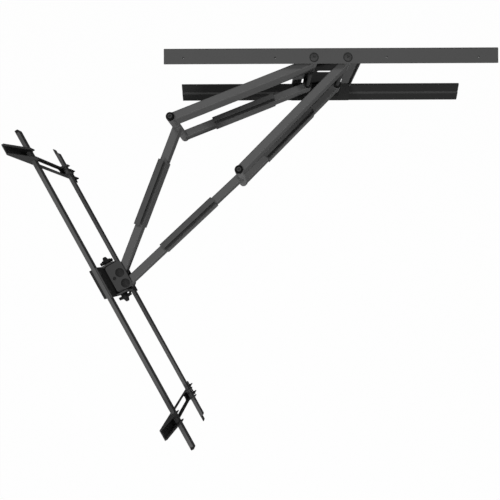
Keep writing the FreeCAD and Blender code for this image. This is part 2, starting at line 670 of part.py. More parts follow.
def head_bolt():
    """A capped pivot bolt through both plates of the yoke."""
    seat = YOKE_TOP_UNDER_Z + YOKE_PLATE
    tip = YOKE_BOTTOM_OVER_Z - YOKE_PLATE - NUT_HEIGHT
    return post(PIN_R, tip, seat).fuse(dome(HEAD_CAP_R, BOLT_DOME, seat)).removeSplitter()


def tilt_sleeve():
    """The friction tube round the tilt axle, between the yoke's ears."""
    half = YOKE_HALF_WIDTH - YOKE_EAR
    outer = cross_rod(SLEEVE_R, -half, half, -AXLE_FORWARD, FOREARM_Z)
    return outer.cut(cross_rod(AXLE_R + RUNNING_FIT, -half, half, -AXLE_FORWARD, FOREARM_Z))


def tilt_plate():
    """The waisted front plate that carries both bars."""
    w, n = CHEEK_OUTER, PLATE_WAIST / 2
    top = UPPER_BAR_TOP_Z - PLATE_TOP_DROP
    shoulder = FOREARM_Z - CHEEK_HEIGHT / 2 - PLATE_WAIST_RADIUS
    hip = LOWER_BAR_TOP_Z + PLATE_WAIST_RADIUS
    foot = LOWER_BAR_UNDER_Z - SHEET
    right = [(w, foot), (w, hip), (n, hip), (n, shoulder), (w, shoulder), (w, top)]
    left = [(-x, z) for x, z in right[::-1]]
    corner = PLATE_WAIST_RADIUS / 2 - PLAY
    radii = [0, corner, corner, corner, corner, BEND]
    face = rounded_face(right + left, radii + radii[::-1], "xz")
    face.translate(FreeCAD.Vector(0, -PLATE_FORWARD - PLATE, 0))
    return face.extrude(FreeCAD.Vector(0, PLATE, 0))


def tilt_bracket():
    """The front plate with two cheeks folded back to the tilt axle."""
    bracket = tilt_plate()
    z0, z1 = FOREARM_Z - CHEEK_HEIGHT / 2, FOREARM_Z + CHEEK_HEIGHT / 2
    y0, y1 = -PLATE_FORWARD, -CHEEK_REAR
    outline = [(y0, z0), (y1, z0), (y1, z1), (y0, z1)]
    face = rounded_face(outline, [0, CHEEK_CORNER, CHEEK_CORNER, 0], "yz")
    for x in (-CHEEK_OUTER, CHEEK_INNER):
        cheek = face.copy()
        cheek.translate(FreeCAD.Vector(x, 0, 0))
        bracket = bracket.fuse(cheek.extrude(FreeCAD.Vector(CHEEK, 0, 0)))
    bore = cross_rod(AXLE_R + SEAT_FIT, -CHEEK_OUTER, CHEEK_OUTER, -AXLE_FORWARD, FOREARM_Z)
    bracket = bracket.cut(bore).removeSplitter()
    return screw_holes(bracket, -PLATE_FORWARD, BAR_BACK_Y)


def tilt_axle():
    """The axle from knob to knob."""
    end = CHEEK_OUTER + WASHER + KNOB_BORE_DEPTH
    return cross_rod(AXLE_R, -end, end, -AXLE_FORWARD, FOREARM_Z)


def tilt_washers():
    """A washer on each side, between cheek and knob."""
    washers = []
    for side in (-1, 1):
        x0, x1 = side * CHEEK_OUTER, side * (CHEEK_OUTER + WASHER)
        disc = cross_rod(WASHER_R, x0, x1, -AXLE_FORWARD, FOREARM_Z)
        washers.append(disc.cut(cross_rod(AXLE_R + SEAT_FIT, x0, x1, -AXLE_FORWARD, FOREARM_Z)))
    return Part.makeCompound(washers)


def tilt_knob(side):
    """A lobed tension knob: hub towards the cheek, tapered boss outside, blind bore."""
    points, radii = [], []
    for i in range(2 * KNOB_LOBES):
        turn = math.pi * i / KNOB_LOBES
        r = KNOB_VALLEY_R if i % 2 else KNOB_R
        points.append((r * math.cos(turn), r * math.sin(turn)))
        radii.append(KNOB_VALLEY_ROUND if i % 2 else KNOB_LOBE_ROUND)
    face = rounded_face(points, radii, "yz")
    face.translate(FreeCAD.Vector(KNOB_HUB, 0, 0))
    knob = face.extrude(FreeCAD.Vector(KNOB_THICKNESS, 0, 0))
    face_x = KNOB_HUB + KNOB_THICKNESS
    boss = Part.makeCone(KNOB_BOSS_R, KNOB_BOSS_TIP_R, KNOB_BOSS, FreeCAD.Vector(face_x, 0, 0), X_AXIS)
    knob = knob.fuse([cross_rod(KNOB_HUB_R, 0, KNOB_HUB, 0, 0), boss])
    knob = knob.cut(cross_rod(AXLE_R + RUNNING_FIT, 0, KNOB_BORE_DEPTH, 0, 0)).removeSplitter()
    knob.translate(FreeCAD.Vector(CHEEK_OUTER + WASHER + PLAY, -AXLE_FORWARD, FOREARM_Z))
    return knob if side > 0 else knob.mirror(FreeCAD.Vector(), X_AXIS)


# Cross bars and their clamps
def bar_section_tube(x0, x1, top):
    """A rectangular bar tube along X, under a level."""
    outer = box((x0, x1), (BAR_BACK_Y, BAR_FRONT_Y), (top - BAR_HEIGHT, top))
    inner_y = (BAR_BACK_Y - BAR_WALL, BAR_FRONT_Y + BAR_WALL)
    return outer.cut(box((x0, x1), inner_y, (top - BAR_HEIGHT + BAR_WALL, top - BAR_WALL)))


def clamp_screw_places():
    """Where the clamp screws pass, as (x, z)."""
    places = []
    for top in (UPPER_BAR_TOP_Z, LOWER_BAR_TOP_Z):
        for side in (-1, 1):
            places.append((side * CLAMP_SCREW_SPACING / 2, top - BAR_HEIGHT / 2))
    return places


def screw_holes(shape, y0, y1):
    """Cuts the clamp screws' clearance holes between two planes across Y."""
    for x, z in clamp_screw_places():
        start = FreeCAD.Vector(x, y0, z)
        shape = shape.cut(Part.makeCylinder(CLAMP_SCREW_R + SEAT_FIT, y0 - y1, start, FORWARD))
    return shape


def cross_bar(top, lip_only):
    """A bar: a tube whose rear part may stop short of a thin full-length lip."""
    x0, x1 = BAR_SHIFT - BAR_LENGTH / 2, BAR_SHIFT + BAR_LENGTH / 2
    short = LOWER_BAR_RETURN if lip_only else END_CAP
    bar = bar_section_tube(x0 + short, x1 - short, top)
    if lip_only:
        lip_y = (BAR_FRONT_Y + LOWER_BAR_LIP, BAR_FRONT_Y)
        for end in ((x0, x0 + short), (x1 - short, x1)):
            bar = bar.fuse(box(end, lip_y, (top - BAR_HEIGHT, top)))
        bar = bar.removeSplitter()
    return screw_holes(bar, BAR_BACK_Y, BAR_FRONT_Y)


def bar_end_caps(top):
    """Moulded plugs that close the two ends of the upper bar."""
    caps = []
    for side in (-1, 1):
        edge = BAR_SHIFT + side * (BAR_LENGTH / 2 - END_CAP)
        tip = edge + side * END_CAP
        head = box((edge, tip), (BAR_BACK_Y, BAR_FRONT_Y), (top - BAR_HEIGHT, top))
        rim = [e for e in head.Edges if abs(e.CenterOfMass.x - tip) < PLAY]
        head = head.makeFillet(TUBE_CORNER, rim)
        inset = BAR_WALL + PLAY
        plug_y = (BAR_BACK_Y - inset, BAR_FRONT_Y + inset)
        plug = box((edge, edge - side * END_CAP_PLUG), plug_y, (top - BAR_HEIGHT + inset, top - inset))
        caps.append(head.fuse(plug).removeSplitter())
    return Part.makeCompound(caps)


def bar_clamp(top):
    """An L-shaped jaw that holds a bar against the front plate from below."""
    under = top - BAR_HEIGHT
    lip = under + CLAMP_LIP_HEIGHT
    foot = under - SHEET
    front = BAR_FRONT_Y - CLAMP_JAW
    outline = [(BAR_BACK_Y, under), (BAR_FRONT_Y, under), (BAR_FRONT_Y, lip), (front, lip)]
    outline += [(front, foot), (BAR_BACK_Y, foot)]
    section = rounded_face(outline, [0, 0, 0, BEND, BEND, 0], "yz")
    clamp = section.extrude(FreeCAD.Vector(CLAMP_LENGTH, 0, 0))
    clamp.translate(FreeCAD.Vector(CLAMP_SHIFT - CLAMP_LENGTH / 2, 0, 0))
    return screw_holes(clamp, BAR_FRONT_Y, front)


def clamp_screws():
    """Four button-head screws through clamps, bars and front plate."""
    length = PLATE + BAR_DEPTH + CLAMP_JAW
    screws = []
    for x, z in clamp_screw_places():
        head = dome(CLAMP_SCREW_HEAD_R, CLAMP_SCREW_HEAD, 0).mirror(FreeCAD.Vector(), Z_AXIS)
        screw = post(CLAMP_SCREW_R, 0, length).fuse(head)
        screw.rotate(FreeCAD.Vector(), X_AXIS, 90)
        screw.translate(FreeCAD.Vector(x, -PLATE_FORWARD, z))
        screws.append(screw.removeSplitter())
    return Part.makeCompound(screws)


# Screen brackets
def bracket_flange_outline():
    """The side view of a bracket: tapered tail, two hooks over the bars, a straight waist."""
    front = BRACKET_BACK_Y - BRACKET_SHEET
    seat = BAR_FRONT_Y - BRACKET_PLAY
    back = BAR_BACK_Y + BRACKET_PLAY
    hook = back + HOOK_DEPTH
    waist = BRACKET_BACK_Y + MID_FLANGE_DEPTH
    tail = BRACKET_BACK_Y + TAIL_DEPTH
    points = [(front, BRACKET_TOP_Z), (front, BRACKET_BOTTOM_Z), (tail, BRACKET_BOTTOM_Z)]
    radii = [0, 0, BEND]
    for top, edge in ((LOWER_BAR_TOP_Z, tail), (UPPER_BAR_TOP_Z, waist)):
        clear = top + BRACKET_PLAY
        low = top - BAR_HEIGHT - HOOK_LIFT
        points += [(edge, low), (seat, low), (seat, clear), (back, clear)]
        points += [(back, top - HOOK_DROP), (hook, top - HOOK_DROP), (hook, top + HOOK_RISE)]
        radii += [BEND, 0, 0, 0, 0, BEND, BEND]
        if top == LOWER_BAR_TOP_Z:
            points.append((waist, top + HOOK_RISE + HOOK_DEPTH))
            radii.append(BEND)
    points.append((BRACKET_BACK_Y + BRACKET_TIP_DEPTH, BRACKET_TOP_Z))
    radii.append(0)
    return points, radii


def screen_bracket():
    """A channel: web on the screen side, two flanges with hooks for the bars."""
    half = BRACKET_WIDTH / 2
    web_y = (BRACKET_BACK_Y, BRACKET_BACK_Y - BRACKET_SHEET)
    bracket = box((-half, half), web_y, (BRACKET_BOTTOM_Z, BRACKET_TOP_Z))
    face = rounded_face(*bracket_flange_outline(), "yz")
    for x in (-half, half - BRACKET_SHEET):
        flange = face.copy()
        flange.translate(FreeCAD.Vector(x, 0, 0))
        bracket = bracket.fuse(flange.extrude(FreeCAD.Vector(BRACKET_SHEET, 0, 0)))
    window_top = UPPER_BAR_TOP_Z - BAR_HEIGHT - WINDOW_MARGIN
    window_bottom = LOWER_BAR_TOP_Z + WINDOW_MARGIN
    side = WINDOW_WIDTH / 2
    outline = [(-side, window_bottom), (side, window_bottom), (side, window_top), (-side, window_top)]
    window = rounded_face(outline, [side - PLAY] * 4, "xz")
    window.translate(FreeCAD.Vector(0, web_y[1], 0))
    bracket = bracket.cut(window.extrude(FreeCAD.Vector(0, BRACKET_SHEET, 0)))
    heights = [BRACKET_TOP_Z - SCREEN_HOLE_EDGE - i * SCREEN_HOLE_PITCH for i in range(SCREEN_HOLE_COUNT)]
    heights.append(BRACKET_BOTTOM_Z + SCREEN_HOLE_EDGE)
    for z in heights:
        start = FreeCAD.Vector(0, BRACKET_BACK_Y, z)
        bracket = bracket.cut(Part.makeCylinder(SCREEN_HOLE_R, BRACKET_SHEET, start, FORWARD))
    bracket = bracket.cut(cross_rod(LOCK_SCREW_R + SEAT_FIT, -half, half, *lock_screw_place()))
    return bracket.removeSplitter()


def lock_screw_place():
    """Where the lock screw crosses a bracket's tail below the lower bar, as (y, z)."""
    notch = LOWER_BAR_UNDER_Z - HOOK_LIFT
    return (BRACKET_BACK_Y + LOCK_SCREW_SETBACK, (notch + BRACKET_BOTTOM_Z) / 2)


def lock_screw(side):
    """A long screw through both flanges whose tip points towards the head."""
    half = BRACKET_WIDTH / 2
    place = lock_screw_place()
    screw = cross_rod(LOCK_SCREW_R, -half - LOCK_SCREW_TIP, half, *place)
    screw = screw.fuse(cross_rod(LOCK_HEAD_R, half, half + LOCK_HEAD, *place)).removeSplitter()
    return screw if side > 0 else screw.mirror(FreeCAD.Vector(), X_AXIS)


def build_head(pivots):
    head = {
        "head_yoke": head_yoke(),
        "yoke_screw": yoke_screw(),
        "tilt_sleeve": tilt_sleeve(),
        "tilt_bracket": tilt_bracket(),
        "tilt_axle": tilt_axle(),
        "tilt_washers": tilt_washers(),
        "left_tilt_knob": tilt_knob(-1),
        "right_tilt_knob": tilt_knob(1),
        "upper_bar": cross_bar(UPPER_BAR_TOP_Z, False),
        "lower_bar": cross_bar(LOWER_BAR_TOP_Z, True),
        "upper_bar_end_caps": bar_end_caps(UPPER_BAR_TOP_Z),
        "upper_bar_clamp": bar_clamp(UPPER_BAR_TOP_Z),
        "lower_bar_clamp": bar_clamp(LOWER_BAR_TOP_Z),
        "clamp_screws": clamp_screws(),
    }
    bolts, nuts = [], []
    for x in HEAD_PIVOTS:
        bolts.append(placed(head_bolt(), (x, 0), 0))
        nuts.append(placed(nut(YOKE_BOTTOM_OVER_Z - YOKE_PLATE), (x, 0), 0))
    head["head_bolts"] = Part.makeCompound(bolts)
    head["head_nuts"] = Part.makeCompound(nuts)
    for name, side in (("left", -1), ("right", 1)):
        x = BRACKET_SHIFT + side * (BAR_LENGTH / 2 - BRACKET_END_DISTANCE)
        head[name + "_screen_bracket"] = placed(screen_bracket(), (x, 0), 0)
        head[name + "_lock_screw"] = placed(lock_screw(side), (x, 0), 0)
    for name, shape in head.items():
        nodes[name] = placed(shape, pivots["head"], HEAD_YAW)


pivots = pose()
build_wall_frame()
build_arms(pivots)
build_head(pivots)
os.makedirs("parts", exist_ok=True)
for name, shape in nodes.items():
    shape.exportStep("parts/" + name + ".step")
print(len(nodes), "nodes")
for side in ("left", "right"):
    print(side, [(round(x, 3), round(y, 3)) for x, y in pivots[side]])
print("head", [round(v, 3) for v in pivots["head"]])
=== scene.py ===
# %% [markdown]
# # A folding screen mount, seen straight from above
# The mount is folded steel and welded tube, so nearly all of its shape is already in the CAD frame.
# This lesson loads that frame and leaves it where it is. It then adds what a coat of paint and a
# workshop add: powder coat, moulded plastic, weld beads, washers and softly rounded star knobs.
# All lengths are in metres.

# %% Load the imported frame
import json
import math
import bmesh
import bpy
from mathutils import Matrix, Vector


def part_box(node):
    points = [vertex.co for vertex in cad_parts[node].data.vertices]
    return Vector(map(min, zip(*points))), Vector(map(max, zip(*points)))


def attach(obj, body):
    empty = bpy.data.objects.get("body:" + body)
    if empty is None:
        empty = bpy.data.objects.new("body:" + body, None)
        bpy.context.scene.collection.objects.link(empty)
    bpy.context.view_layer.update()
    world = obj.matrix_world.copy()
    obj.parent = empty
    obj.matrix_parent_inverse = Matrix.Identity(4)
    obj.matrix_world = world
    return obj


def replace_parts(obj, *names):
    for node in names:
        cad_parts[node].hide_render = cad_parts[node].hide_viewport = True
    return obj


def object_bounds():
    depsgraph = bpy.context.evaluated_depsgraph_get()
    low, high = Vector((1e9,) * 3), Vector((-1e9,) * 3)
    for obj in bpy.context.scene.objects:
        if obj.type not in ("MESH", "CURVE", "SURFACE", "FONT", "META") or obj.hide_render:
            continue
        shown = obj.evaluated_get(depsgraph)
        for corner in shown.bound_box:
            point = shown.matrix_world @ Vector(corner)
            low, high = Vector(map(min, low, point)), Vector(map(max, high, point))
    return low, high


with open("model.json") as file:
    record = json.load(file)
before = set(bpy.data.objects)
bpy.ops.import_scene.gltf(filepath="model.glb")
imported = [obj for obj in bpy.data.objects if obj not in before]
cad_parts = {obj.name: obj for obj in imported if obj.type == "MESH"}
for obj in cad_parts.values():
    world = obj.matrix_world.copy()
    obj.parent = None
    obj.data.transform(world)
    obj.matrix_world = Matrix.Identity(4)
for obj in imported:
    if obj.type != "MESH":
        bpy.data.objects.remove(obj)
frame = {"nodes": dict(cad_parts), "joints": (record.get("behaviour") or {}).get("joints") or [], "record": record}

cad_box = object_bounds()
nodes = frame["nodes"]
joints = {joint["name"]: joint for joint in frame["joints"]}

# %% [markdown]
# ## Where things are
# Every hinge of the mount is written in the frame, so the pivots are read from there and not typed. Only the
# right forearm's end at the head has no hinge of its own: it lies a fixed step along the bars from the left
# one. The head has its own directions: `along_bars` follows the two cross bars, and `to_wall` points back
# from them to the wall's side.

# %% Pivots and directions of the arms and the head
HEAD_PIVOT_STEP = 0.034


def pivot(joint_name):
    return Vector(joints[joint_name]["pos_m"])


along_bars = Vector(joints["head_tilt"]["axis"])
upwards = Vector((0, 0, 1))
to_wall = upwards.cross(along_bars)
axle_centre = pivot("head_tilt")
open_pivot = pivot("head_swivel") + along_bars * HEAD_PIVOT_STEP
arms = {
    "left": (pivot("left_shoulder"), pivot("left_elbow"), pivot("head_swivel")),
    "right": (pivot("right_shoulder"), pivot("right_elbow"), open_pivot),
}
print("bars run along", [round(v, 3) for v in along_bars])

# %% [markdown]
# ## Node helpers
# Each finish below is a small node tree, and all of them are greys. A few helpers keep those trees short. The
# noise pattern is in the object's own coordinates, in grains per metre, so that a grain has the same size on
# a rail as on a bolt.

# %% Helpers for node trees
def new_finish(name):
    material = bpy.data.materials.new(name)
    material.use_nodes = True
    tree = material.node_tree
    return material, tree, tree.nodes["Principled BSDF"]


def add_node(tree, kind, **settings):
    node = tree.nodes.new(kind)
    for key, value in settings.items():
        setattr(node, key, value)
    return node


def grain(tree, scale, detail):
    place = add_node(tree, "ShaderNodeTexCoord")
    noise = add_node(tree, "ShaderNodeTexNoise")
    noise.inputs["Scale"].default_value = scale
    noise.inputs["Detail"].default_value = detail
    tree.links.new(place.outputs["Object"], noise.inputs["Vector"])
    return noise.outputs["Fac"]


def grey_ramp(tree, value, places, levels):
    node = add_node(tree, "ShaderNodeValToRGB")
    for element, place, level in zip(node.color_ramp.elements, places, levels):
        element.position = place
        element.color = (level, level, level, 1)
    tree.links.new(value, node.inputs["Fac"])
    return node.outputs["Color"]


def mixed_grey(tree, mask, base, level):
    mix = add_node(tree, "ShaderNodeMix", data_type="RGBA")
    tree.links.new(mask, mix.inputs["Factor"])
    tree.links.new(base, mix.inputs["A"])
    mix.inputs["B"].default_value = (level, level, level, 1)
    return mix.outputs["Result"]


print("patterns are counted in grains per metre")

# %% [markdown]
# ## Rounded edges, painted edge highlights and wear
# Folded sheet never has a knife edge. The Bevel node rounds the shading over a fraction of a millimetre
# without touching the CAD mesh. Where that rounded normal leaves the true one there is an edge, so the
# same node also finds the edges that the finishes paint lighter. On the powder coat this is a painted
# highlight, on the bare fasteners it is wear, and the mouldings' edges are painted lighter too.

# %% Edge finding shared by all finishes
EDGE_ROUNDING = 0.0009
BEVEL_SAMPLES = 6
EDGE_STARTS = 0.99
EDGE_FULL = 0.80


def rounded_normal(tree, radius):
    bevel = add_node(tree, "ShaderNodeBevel", samples=BEVEL_SAMPLES)
    bevel.inputs["Radius"].default_value = radius
    return bevel.outputs["Normal"]


def edge_mask(tree, normal):
    geometry = add_node(tree, "ShaderNodeNewGeometry")
    compare = add_node(tree, "ShaderNodeVectorMath", operation="DOT_PRODUCT")
    tree.links.new(normal, compare.inputs[0])
    tree.links.new(geometry.outputs["Normal"], compare.inputs[1])
    spread = add_node(tree, "ShaderNodeMapRange")
    spread.inputs["From Min"].default_value = EDGE_STARTS
    spread.inputs["From Max"].default_value = EDGE_FULL
    tree.links.new(compare.outputs["Value"], spread.inputs["Value"])
    return spread.outputs["Result"]


def bumped(tree, height, normal, strength, distance):
    bump = add_node(tree, "ShaderNodeBump")
    bump.inputs["Strength"].default_value = strength
    bump.inputs["Distance"].default_value = distance
    tree.links.new(height, bump.inputs["Height"])
    tree.links.new(normal, bump.inputs["Normal"])
    return bump.outputs["Normal"]


print("shading is rounded by", EDGE_ROUNDING * 1000, "mm at the edges")

# %% [markdown]
# ## Powder coat
# The steel is sprayed with dry powder and baked. Under a lamp it shows a fine orange peel, a little
# sparkle of lighter and darker grains, and slow cloudy changes where the coat is thicker. Three noise
# scales give those three things. Edges are painted a touch lighter, a painted highlight standing in for
# light caught on the rounded corners. The coat is matt. Only the turned barrels get a trace of shine,
# because a lathe leaves a smoother ground than a roller.

# %% Powder-coated steel
SPECKLE = (1400.0, 2.0)
CLOUDS = (14.0, 3.0)
PEEL = (620.0, 1.0)
SPECKLE_SPREAD = (0.35, 0.65)
NOISE_SPREAD = (0.3, 0.7)
SPARKLE = 0.14
CLOUD_LIFT = 1.06
COAT_EDGE_HIGHLIGHT = 1.55
COAT_ROUGHNESS = (0.5, 0.62)
PEEL_STRENGTH = 0.22
PEEL_DEPTH = 0.0003


def powder_coat(name, level, shine=0.0):
    material, tree, shader = new_finish(name)
    normal = rounded_normal(tree, EDGE_ROUNDING)
    clouds = grain(tree, *CLOUDS)
    sparkle = (level * (1 - SPARKLE), level * (1 + SPARKLE))
    coat = grey_ramp(tree, grain(tree, *SPECKLE), SPECKLE_SPREAD, sparkle)
    cloudy = mixed_grey(tree, clouds, coat, level * CLOUD_LIFT)
    # Edges are painted lighter here: a painted highlight on the rounded corners.
    edged = mixed_grey(tree, edge_mask(tree, normal), cloudy, level * COAT_EDGE_HIGHLIGHT)
    tree.links.new(edged, shader.inputs["Base Color"])
    tree.links.new(grey_ramp(tree, clouds, NOISE_SPREAD, COAT_ROUGHNESS), shader.inputs["Roughness"])
    peel = bumped(tree, grain(tree, *PEEL), normal, PEEL_STRENGTH, PEEL_DEPTH)
    tree.links.new(peel, shader.inputs["Normal"])
    shader.inputs["Specular IOR Level"].default_value = shine
    return material


STEEL_LEVEL = 0.1
# The lower rail's level is far below the steel's: painted shade, for the rail lying under the top rail.
LOWER_RAIL_SHADED_LEVEL = 0.026
BARREL_SHINE = 0.03

steel_coat = powder_coat("charcoal_powder_coat", STEEL_LEVEL)
# The top rail, lower rail, bracket and yoke coats are darker copies of the charcoal coat: painted shade.
rail_shade_coat = powder_coat("top_rail_shaded_powder_coat", 0.083)
lower_rail_shade_coat = powder_coat("lower_rail_shaded_powder_coat", LOWER_RAIL_SHADED_LEVEL)
black_coat = powder_coat("black_powder_coat", 0.028)
bracket_shade_coat = powder_coat("bracket_shaded_powder_coat", 0.06)
yoke_coat = powder_coat("yoke_powder_coat", 0.055)
barrel_coat = powder_coat("barrel_powder_coat", STEEL_LEVEL, BARREL_SHINE)
coats = (steel_coat, rail_shade_coat, lower_rail_shade_coat, black_coat, bracket_shade_coat, yoke_coat, barrel_coat)
print("powder coats:", ", ".join(coat.name for coat in coats))

# %% [markdown]
# ## A painted highlight along the lower rail's bead
# The lower rail has a narrow flat bead pressed along its middle, which stands proud of the two slopes. Its
# paler tone is a painted highlight: the bead is painted lighter as if its flat caught more light than the
# slopes. The rail lies along X, so the bead is where the object's own Y is near one value. A Compare node
# finds that strip and a paler coat is mixed in there.

# %% The painted highlight on the bead
BEAD_MIDDLE = -0.0275
BEAD_HALF_WIDTH = 0.003
BEAD_HIGHLIGHT_LIFT = 2.1


# Mixes a paler coat into a strip of the object's Y: a painted highlight.
def paint_highlight_strip(material, level, middle, half_width):
    tree = material.node_tree
    base = tree.nodes["Principled BSDF"].inputs["Base Color"]
    place = add_node(tree, "ShaderNodeTexCoord")
    axes = add_node(tree, "ShaderNodeSeparateXYZ")
    tree.links.new(place.outputs["Object"], axes.inputs["Vector"])
    near = add_node(tree, "ShaderNodeMath", operation="COMPARE")
    near.inputs[1].default_value = middle
    near.inputs[2].default_value = half_width
    tree.links.new(axes.outputs["Y"], near.inputs[0])
    tree.links.new(mixed_grey(tree, near.outputs["Value"], base.links[0].from_socket, level), base)


# The bead's strip on the lower rail is painted paler: a painted highlight.
paint_highlight_strip(lower_rail_shade_coat, LOWER_RAIL_SHADED_LEVEL * BEAD_HIGHLIGHT_LIFT, BEAD_MIDDLE, BEAD_HALF_WIDTH)
print("bead rubbed along y =", BEAD_MIDDLE)

# %% [markdown]
# ## Moulded plastic
# The cable covers, caps and knobs are moulded. Their tool was spark-eroded, which leaves a soft matt
# texture with no sparkle, so one fine noise makes the bump, and a coarse one varies tone and roughness.

# %% Plastics
MOULD_CLOUDS = (30.0, 2.0)
SPARK_TEXTURE = (2200.0, 1.0)
MOULD_TONES = 0.07
MOULD_EDGE_LIFT = 1.35
MOULD_ROUGHER = 0.1
SPARK_STRENGTH = 0.18
SPARK_DEPTH = 0.0001
MOULD_SHINE = 0.01


def moulded_plastic(name, level, roughness):
    material, tree, shader = new_finish(name)
    normal = rounded_normal(tree, EDGE_ROUNDING)
    clouds = grain(tree, *MOULD_CLOUDS)
    skin = grey_ramp(tree, clouds, NOISE_SPREAD, (level * (1 - MOULD_TONES), level * (1 + MOULD_TONES)))
    edged = mixed_grey(tree, edge_mask(tree, normal), skin, level * MOULD_EDGE_LIFT)
    tree.links.new(edged, shader.inputs["Base Color"])
    rough = grey_ramp(tree, clouds, NOISE_SPREAD, (roughness, roughness + MOULD_ROUGHER))
    tree.links.new(rough, shader.inputs["Roughness"])
    spark = bumped(tree, grain(tree, *SPARK_TEXTURE), normal, SPARK_STRENGTH, SPARK_DEPTH)
    tree.links.new(spark, shader.inputs["Normal"])
    shader.inputs["Specular IOR Level"].default_value = MOULD_SHINE
    return material


cover_plastic = moulded_plastic("cover_moulding", 0.076, 0.5)
black_plastic = moulded_plastic("black_moulding", 0.02, 0.45)
ring_plastic = moulded_plastic("elbow_ring_moulding", 0.007, 0.45)
print("plastics:", cover_plastic.name, black_plastic.name, ring_plastic.name)

# %% [markdown]
# ## Oiled fasteners
# The nuts and screws are black steel with a film of oil. They are smoother than the plastic and have smears,
# which one noise gives to both tone and roughness. Their edges are small, so the rounding is halved, and
# they are bare from the spanner, so the edge is twice as light as the face.

# %% Dark fasteners
SMEARS = (260.0, 4.0)
SMEAR_TONES = 0.15
BOLT_LEVEL = 0.022
BOLT_EDGE_LIFT = 2.0
BOLT_ROUGHNESS = (0.4, 0.55)
BOLT_SHINE = 0.03


def oiled_steel(name, level):
    material, tree, shader = new_finish(name)
    normal = rounded_normal(tree, EDGE_ROUNDING / 2)
    smear = grain(tree, *SMEARS)
    skin = grey_ramp(tree, smear, NOISE_SPREAD, (level * (1 - SMEAR_TONES), level * (1 + SMEAR_TONES)))
    edged = mixed_grey(tree, edge_mask(tree, normal), skin, level * BOLT_EDGE_LIFT)
    tree.links.new(edged, shader.inputs["Base Color"])
    tree.links.new(grey_ramp(tree, smear, NOISE_SPREAD, BOLT_ROUGHNESS), shader.inputs["Roughness"])
    tree.links.new(normal, shader.inputs["Normal"])
    shader.inputs["Specular IOR Level"].default_value = BOLT_SHINE
    return material


dark_steel = oiled_steel("oiled_bolt_steel", BOLT_LEVEL)
print("fasteners:", dark_steel.name)

# %% [markdown]
# ## Dressing the CAD nodes
# The imported record says which slot each node belongs to, so the finishes are handed out by slot. Some nodes
# are lighter or darker in the picture than the rest of their slot, and they get a coat of their own. The wall
# rails, the yoke and the brackets get darker copies of the charcoal coat, which is painted shade. The turned
# barrels get the barrel coat. The bolt heads on the rail and the pin on top of each elbow get the yoke's coat,
# which is lighter than the fastener steel, and the black ring on top of each elbow gets its own moulding.

# %% Give every node its finish
BARRELS = ("shoulder_barrel", "elbow_top_socket", "elbow_lower_socket", "elbow_knuckle", "head_knuckle")

finish_of_slot = {
    "charcoal_steel": steel_coat,
    "black_steel": black_coat,
    "cover_plastic": cover_plastic,
    "black_plastic": black_plastic,
    "dark_fastener": dark_steel,
}
own_finish = {
    "top_wall_rail": rail_shade_coat,
    "bottom_wall_rail": lower_rail_shade_coat,
    "head_yoke": yoke_coat,
    "tilt_bracket": bracket_shade_coat,
}
for side in arms:
    own_finish.update({side + "_" + barrel: barrel_coat for barrel in BARRELS})
    own_finish[side + "_screen_bracket"] = bracket_shade_coat
    own_finish[side + "_shoulder_bolt"] = yoke_coat
    own_finish[side + "_elbow_pin"] = yoke_coat
    own_finish[side + "_elbow_cap"] = ring_plastic
for part in frame["record"]["subparts"]:
    name = part["node"]
    node_materials = nodes[name].data.materials
    node_materials.clear()
    node_materials.append(own_finish.get(name, finish_of_slot[part["material_slot"]]))

# %% [markdown]
# ## From a bmesh to a piece of the mount
# Each new piece below is a small bmesh. When its shape is done, doubles are merged and the faces are turned
# outwards. It then gets a finish, and it is told which body carries it, because the mount has to fold with
# all its details on.

# %% Finishing a new piece
SMOOTH_BELOW = math.radians(38)
MERGE_DISTANCE = 1e-6


def finish_piece(name, shape, coat, body):
    bmesh.ops.remove_doubles(shape, verts=shape.verts, dist=MERGE_DISTANCE)
    bmesh.ops.recalc_face_normals(shape, faces=shape.faces)
    mesh = bpy.data.meshes.new(name)
    shape.to_mesh(mesh)
    shape.free()
    mesh.shade_smooth()
    mesh.set_sharp_from_angle(angle=SMOOTH_BELOW)
    mesh.materials.append(coat)
    piece = bpy.data.objects.new(name, mesh)
    bpy.context.scene.collection.objects.link(piece)
    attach(piece, body)
    print(name, "has", len(mesh.polygons), "faces and rides on", body)
    return piece


def verts_of(geometry):
    return [item for item in geometry if isinstance(item, bmesh.types.BMVert)]


print("edges under", round(math.degrees(SMOOTH_BELOW)), "degrees are shaded smooth")

# %% [markdown]
# ## Weld beads
# Each arm tube is cut round at its ends and welded to a turned barrel, and the weld stands as a low rippled
# bead in the corner. A bevelled curve would give a smooth wire. Here a small ring is spun one step at a
# time instead, and every second ring is swollen a little, which leaves the ripples of a hand-laid weld.

# %% One bead, laid step by step
BEAD_RADIUS = 0.0016
BEAD_STEP = 0.0018
BEAD_SIDES = 8
RIPPLE = 1.16


def lay_bead(shape, start, across, rise, length, centre=None, turn=0.0, run=Vector()):
    axes = Matrix((across, rise, across.cross(rise))).transposed().to_4x4()
    place = Matrix.Translation(start) @ axes
    verts = bmesh.ops.create_circle(shape, segments=BEAD_SIDES, radius=BEAD_RADIUS, matrix=place)["verts"]
    ring = verts + list({edge for vert in verts for edge in vert.link_edges})
    steps = max(2, round(length / BEAD_STEP))
    for step in range(steps):
        made = bmesh.ops.spin(shape, geom=ring, cent=centre or start, axis=upwards, angle=turn / steps,
                              dvec=run / steps, steps=1)
        ring = made["geom_last"]
        verts = verts_of(ring)
        ring_centre = sum((vert.co for vert in verts), Vector()) / len(verts)
        swell = RIPPLE if step % 2 == 0 else 1 / RIPPLE
        bmesh.ops.scale(shape, vec=(swell, swell, swell), space=Matrix.Translation(-ring_centre), verts=verts)
    bmesh.ops.holes_fill(shape, edges=shape.edges, sides=BEAD_SIDES)


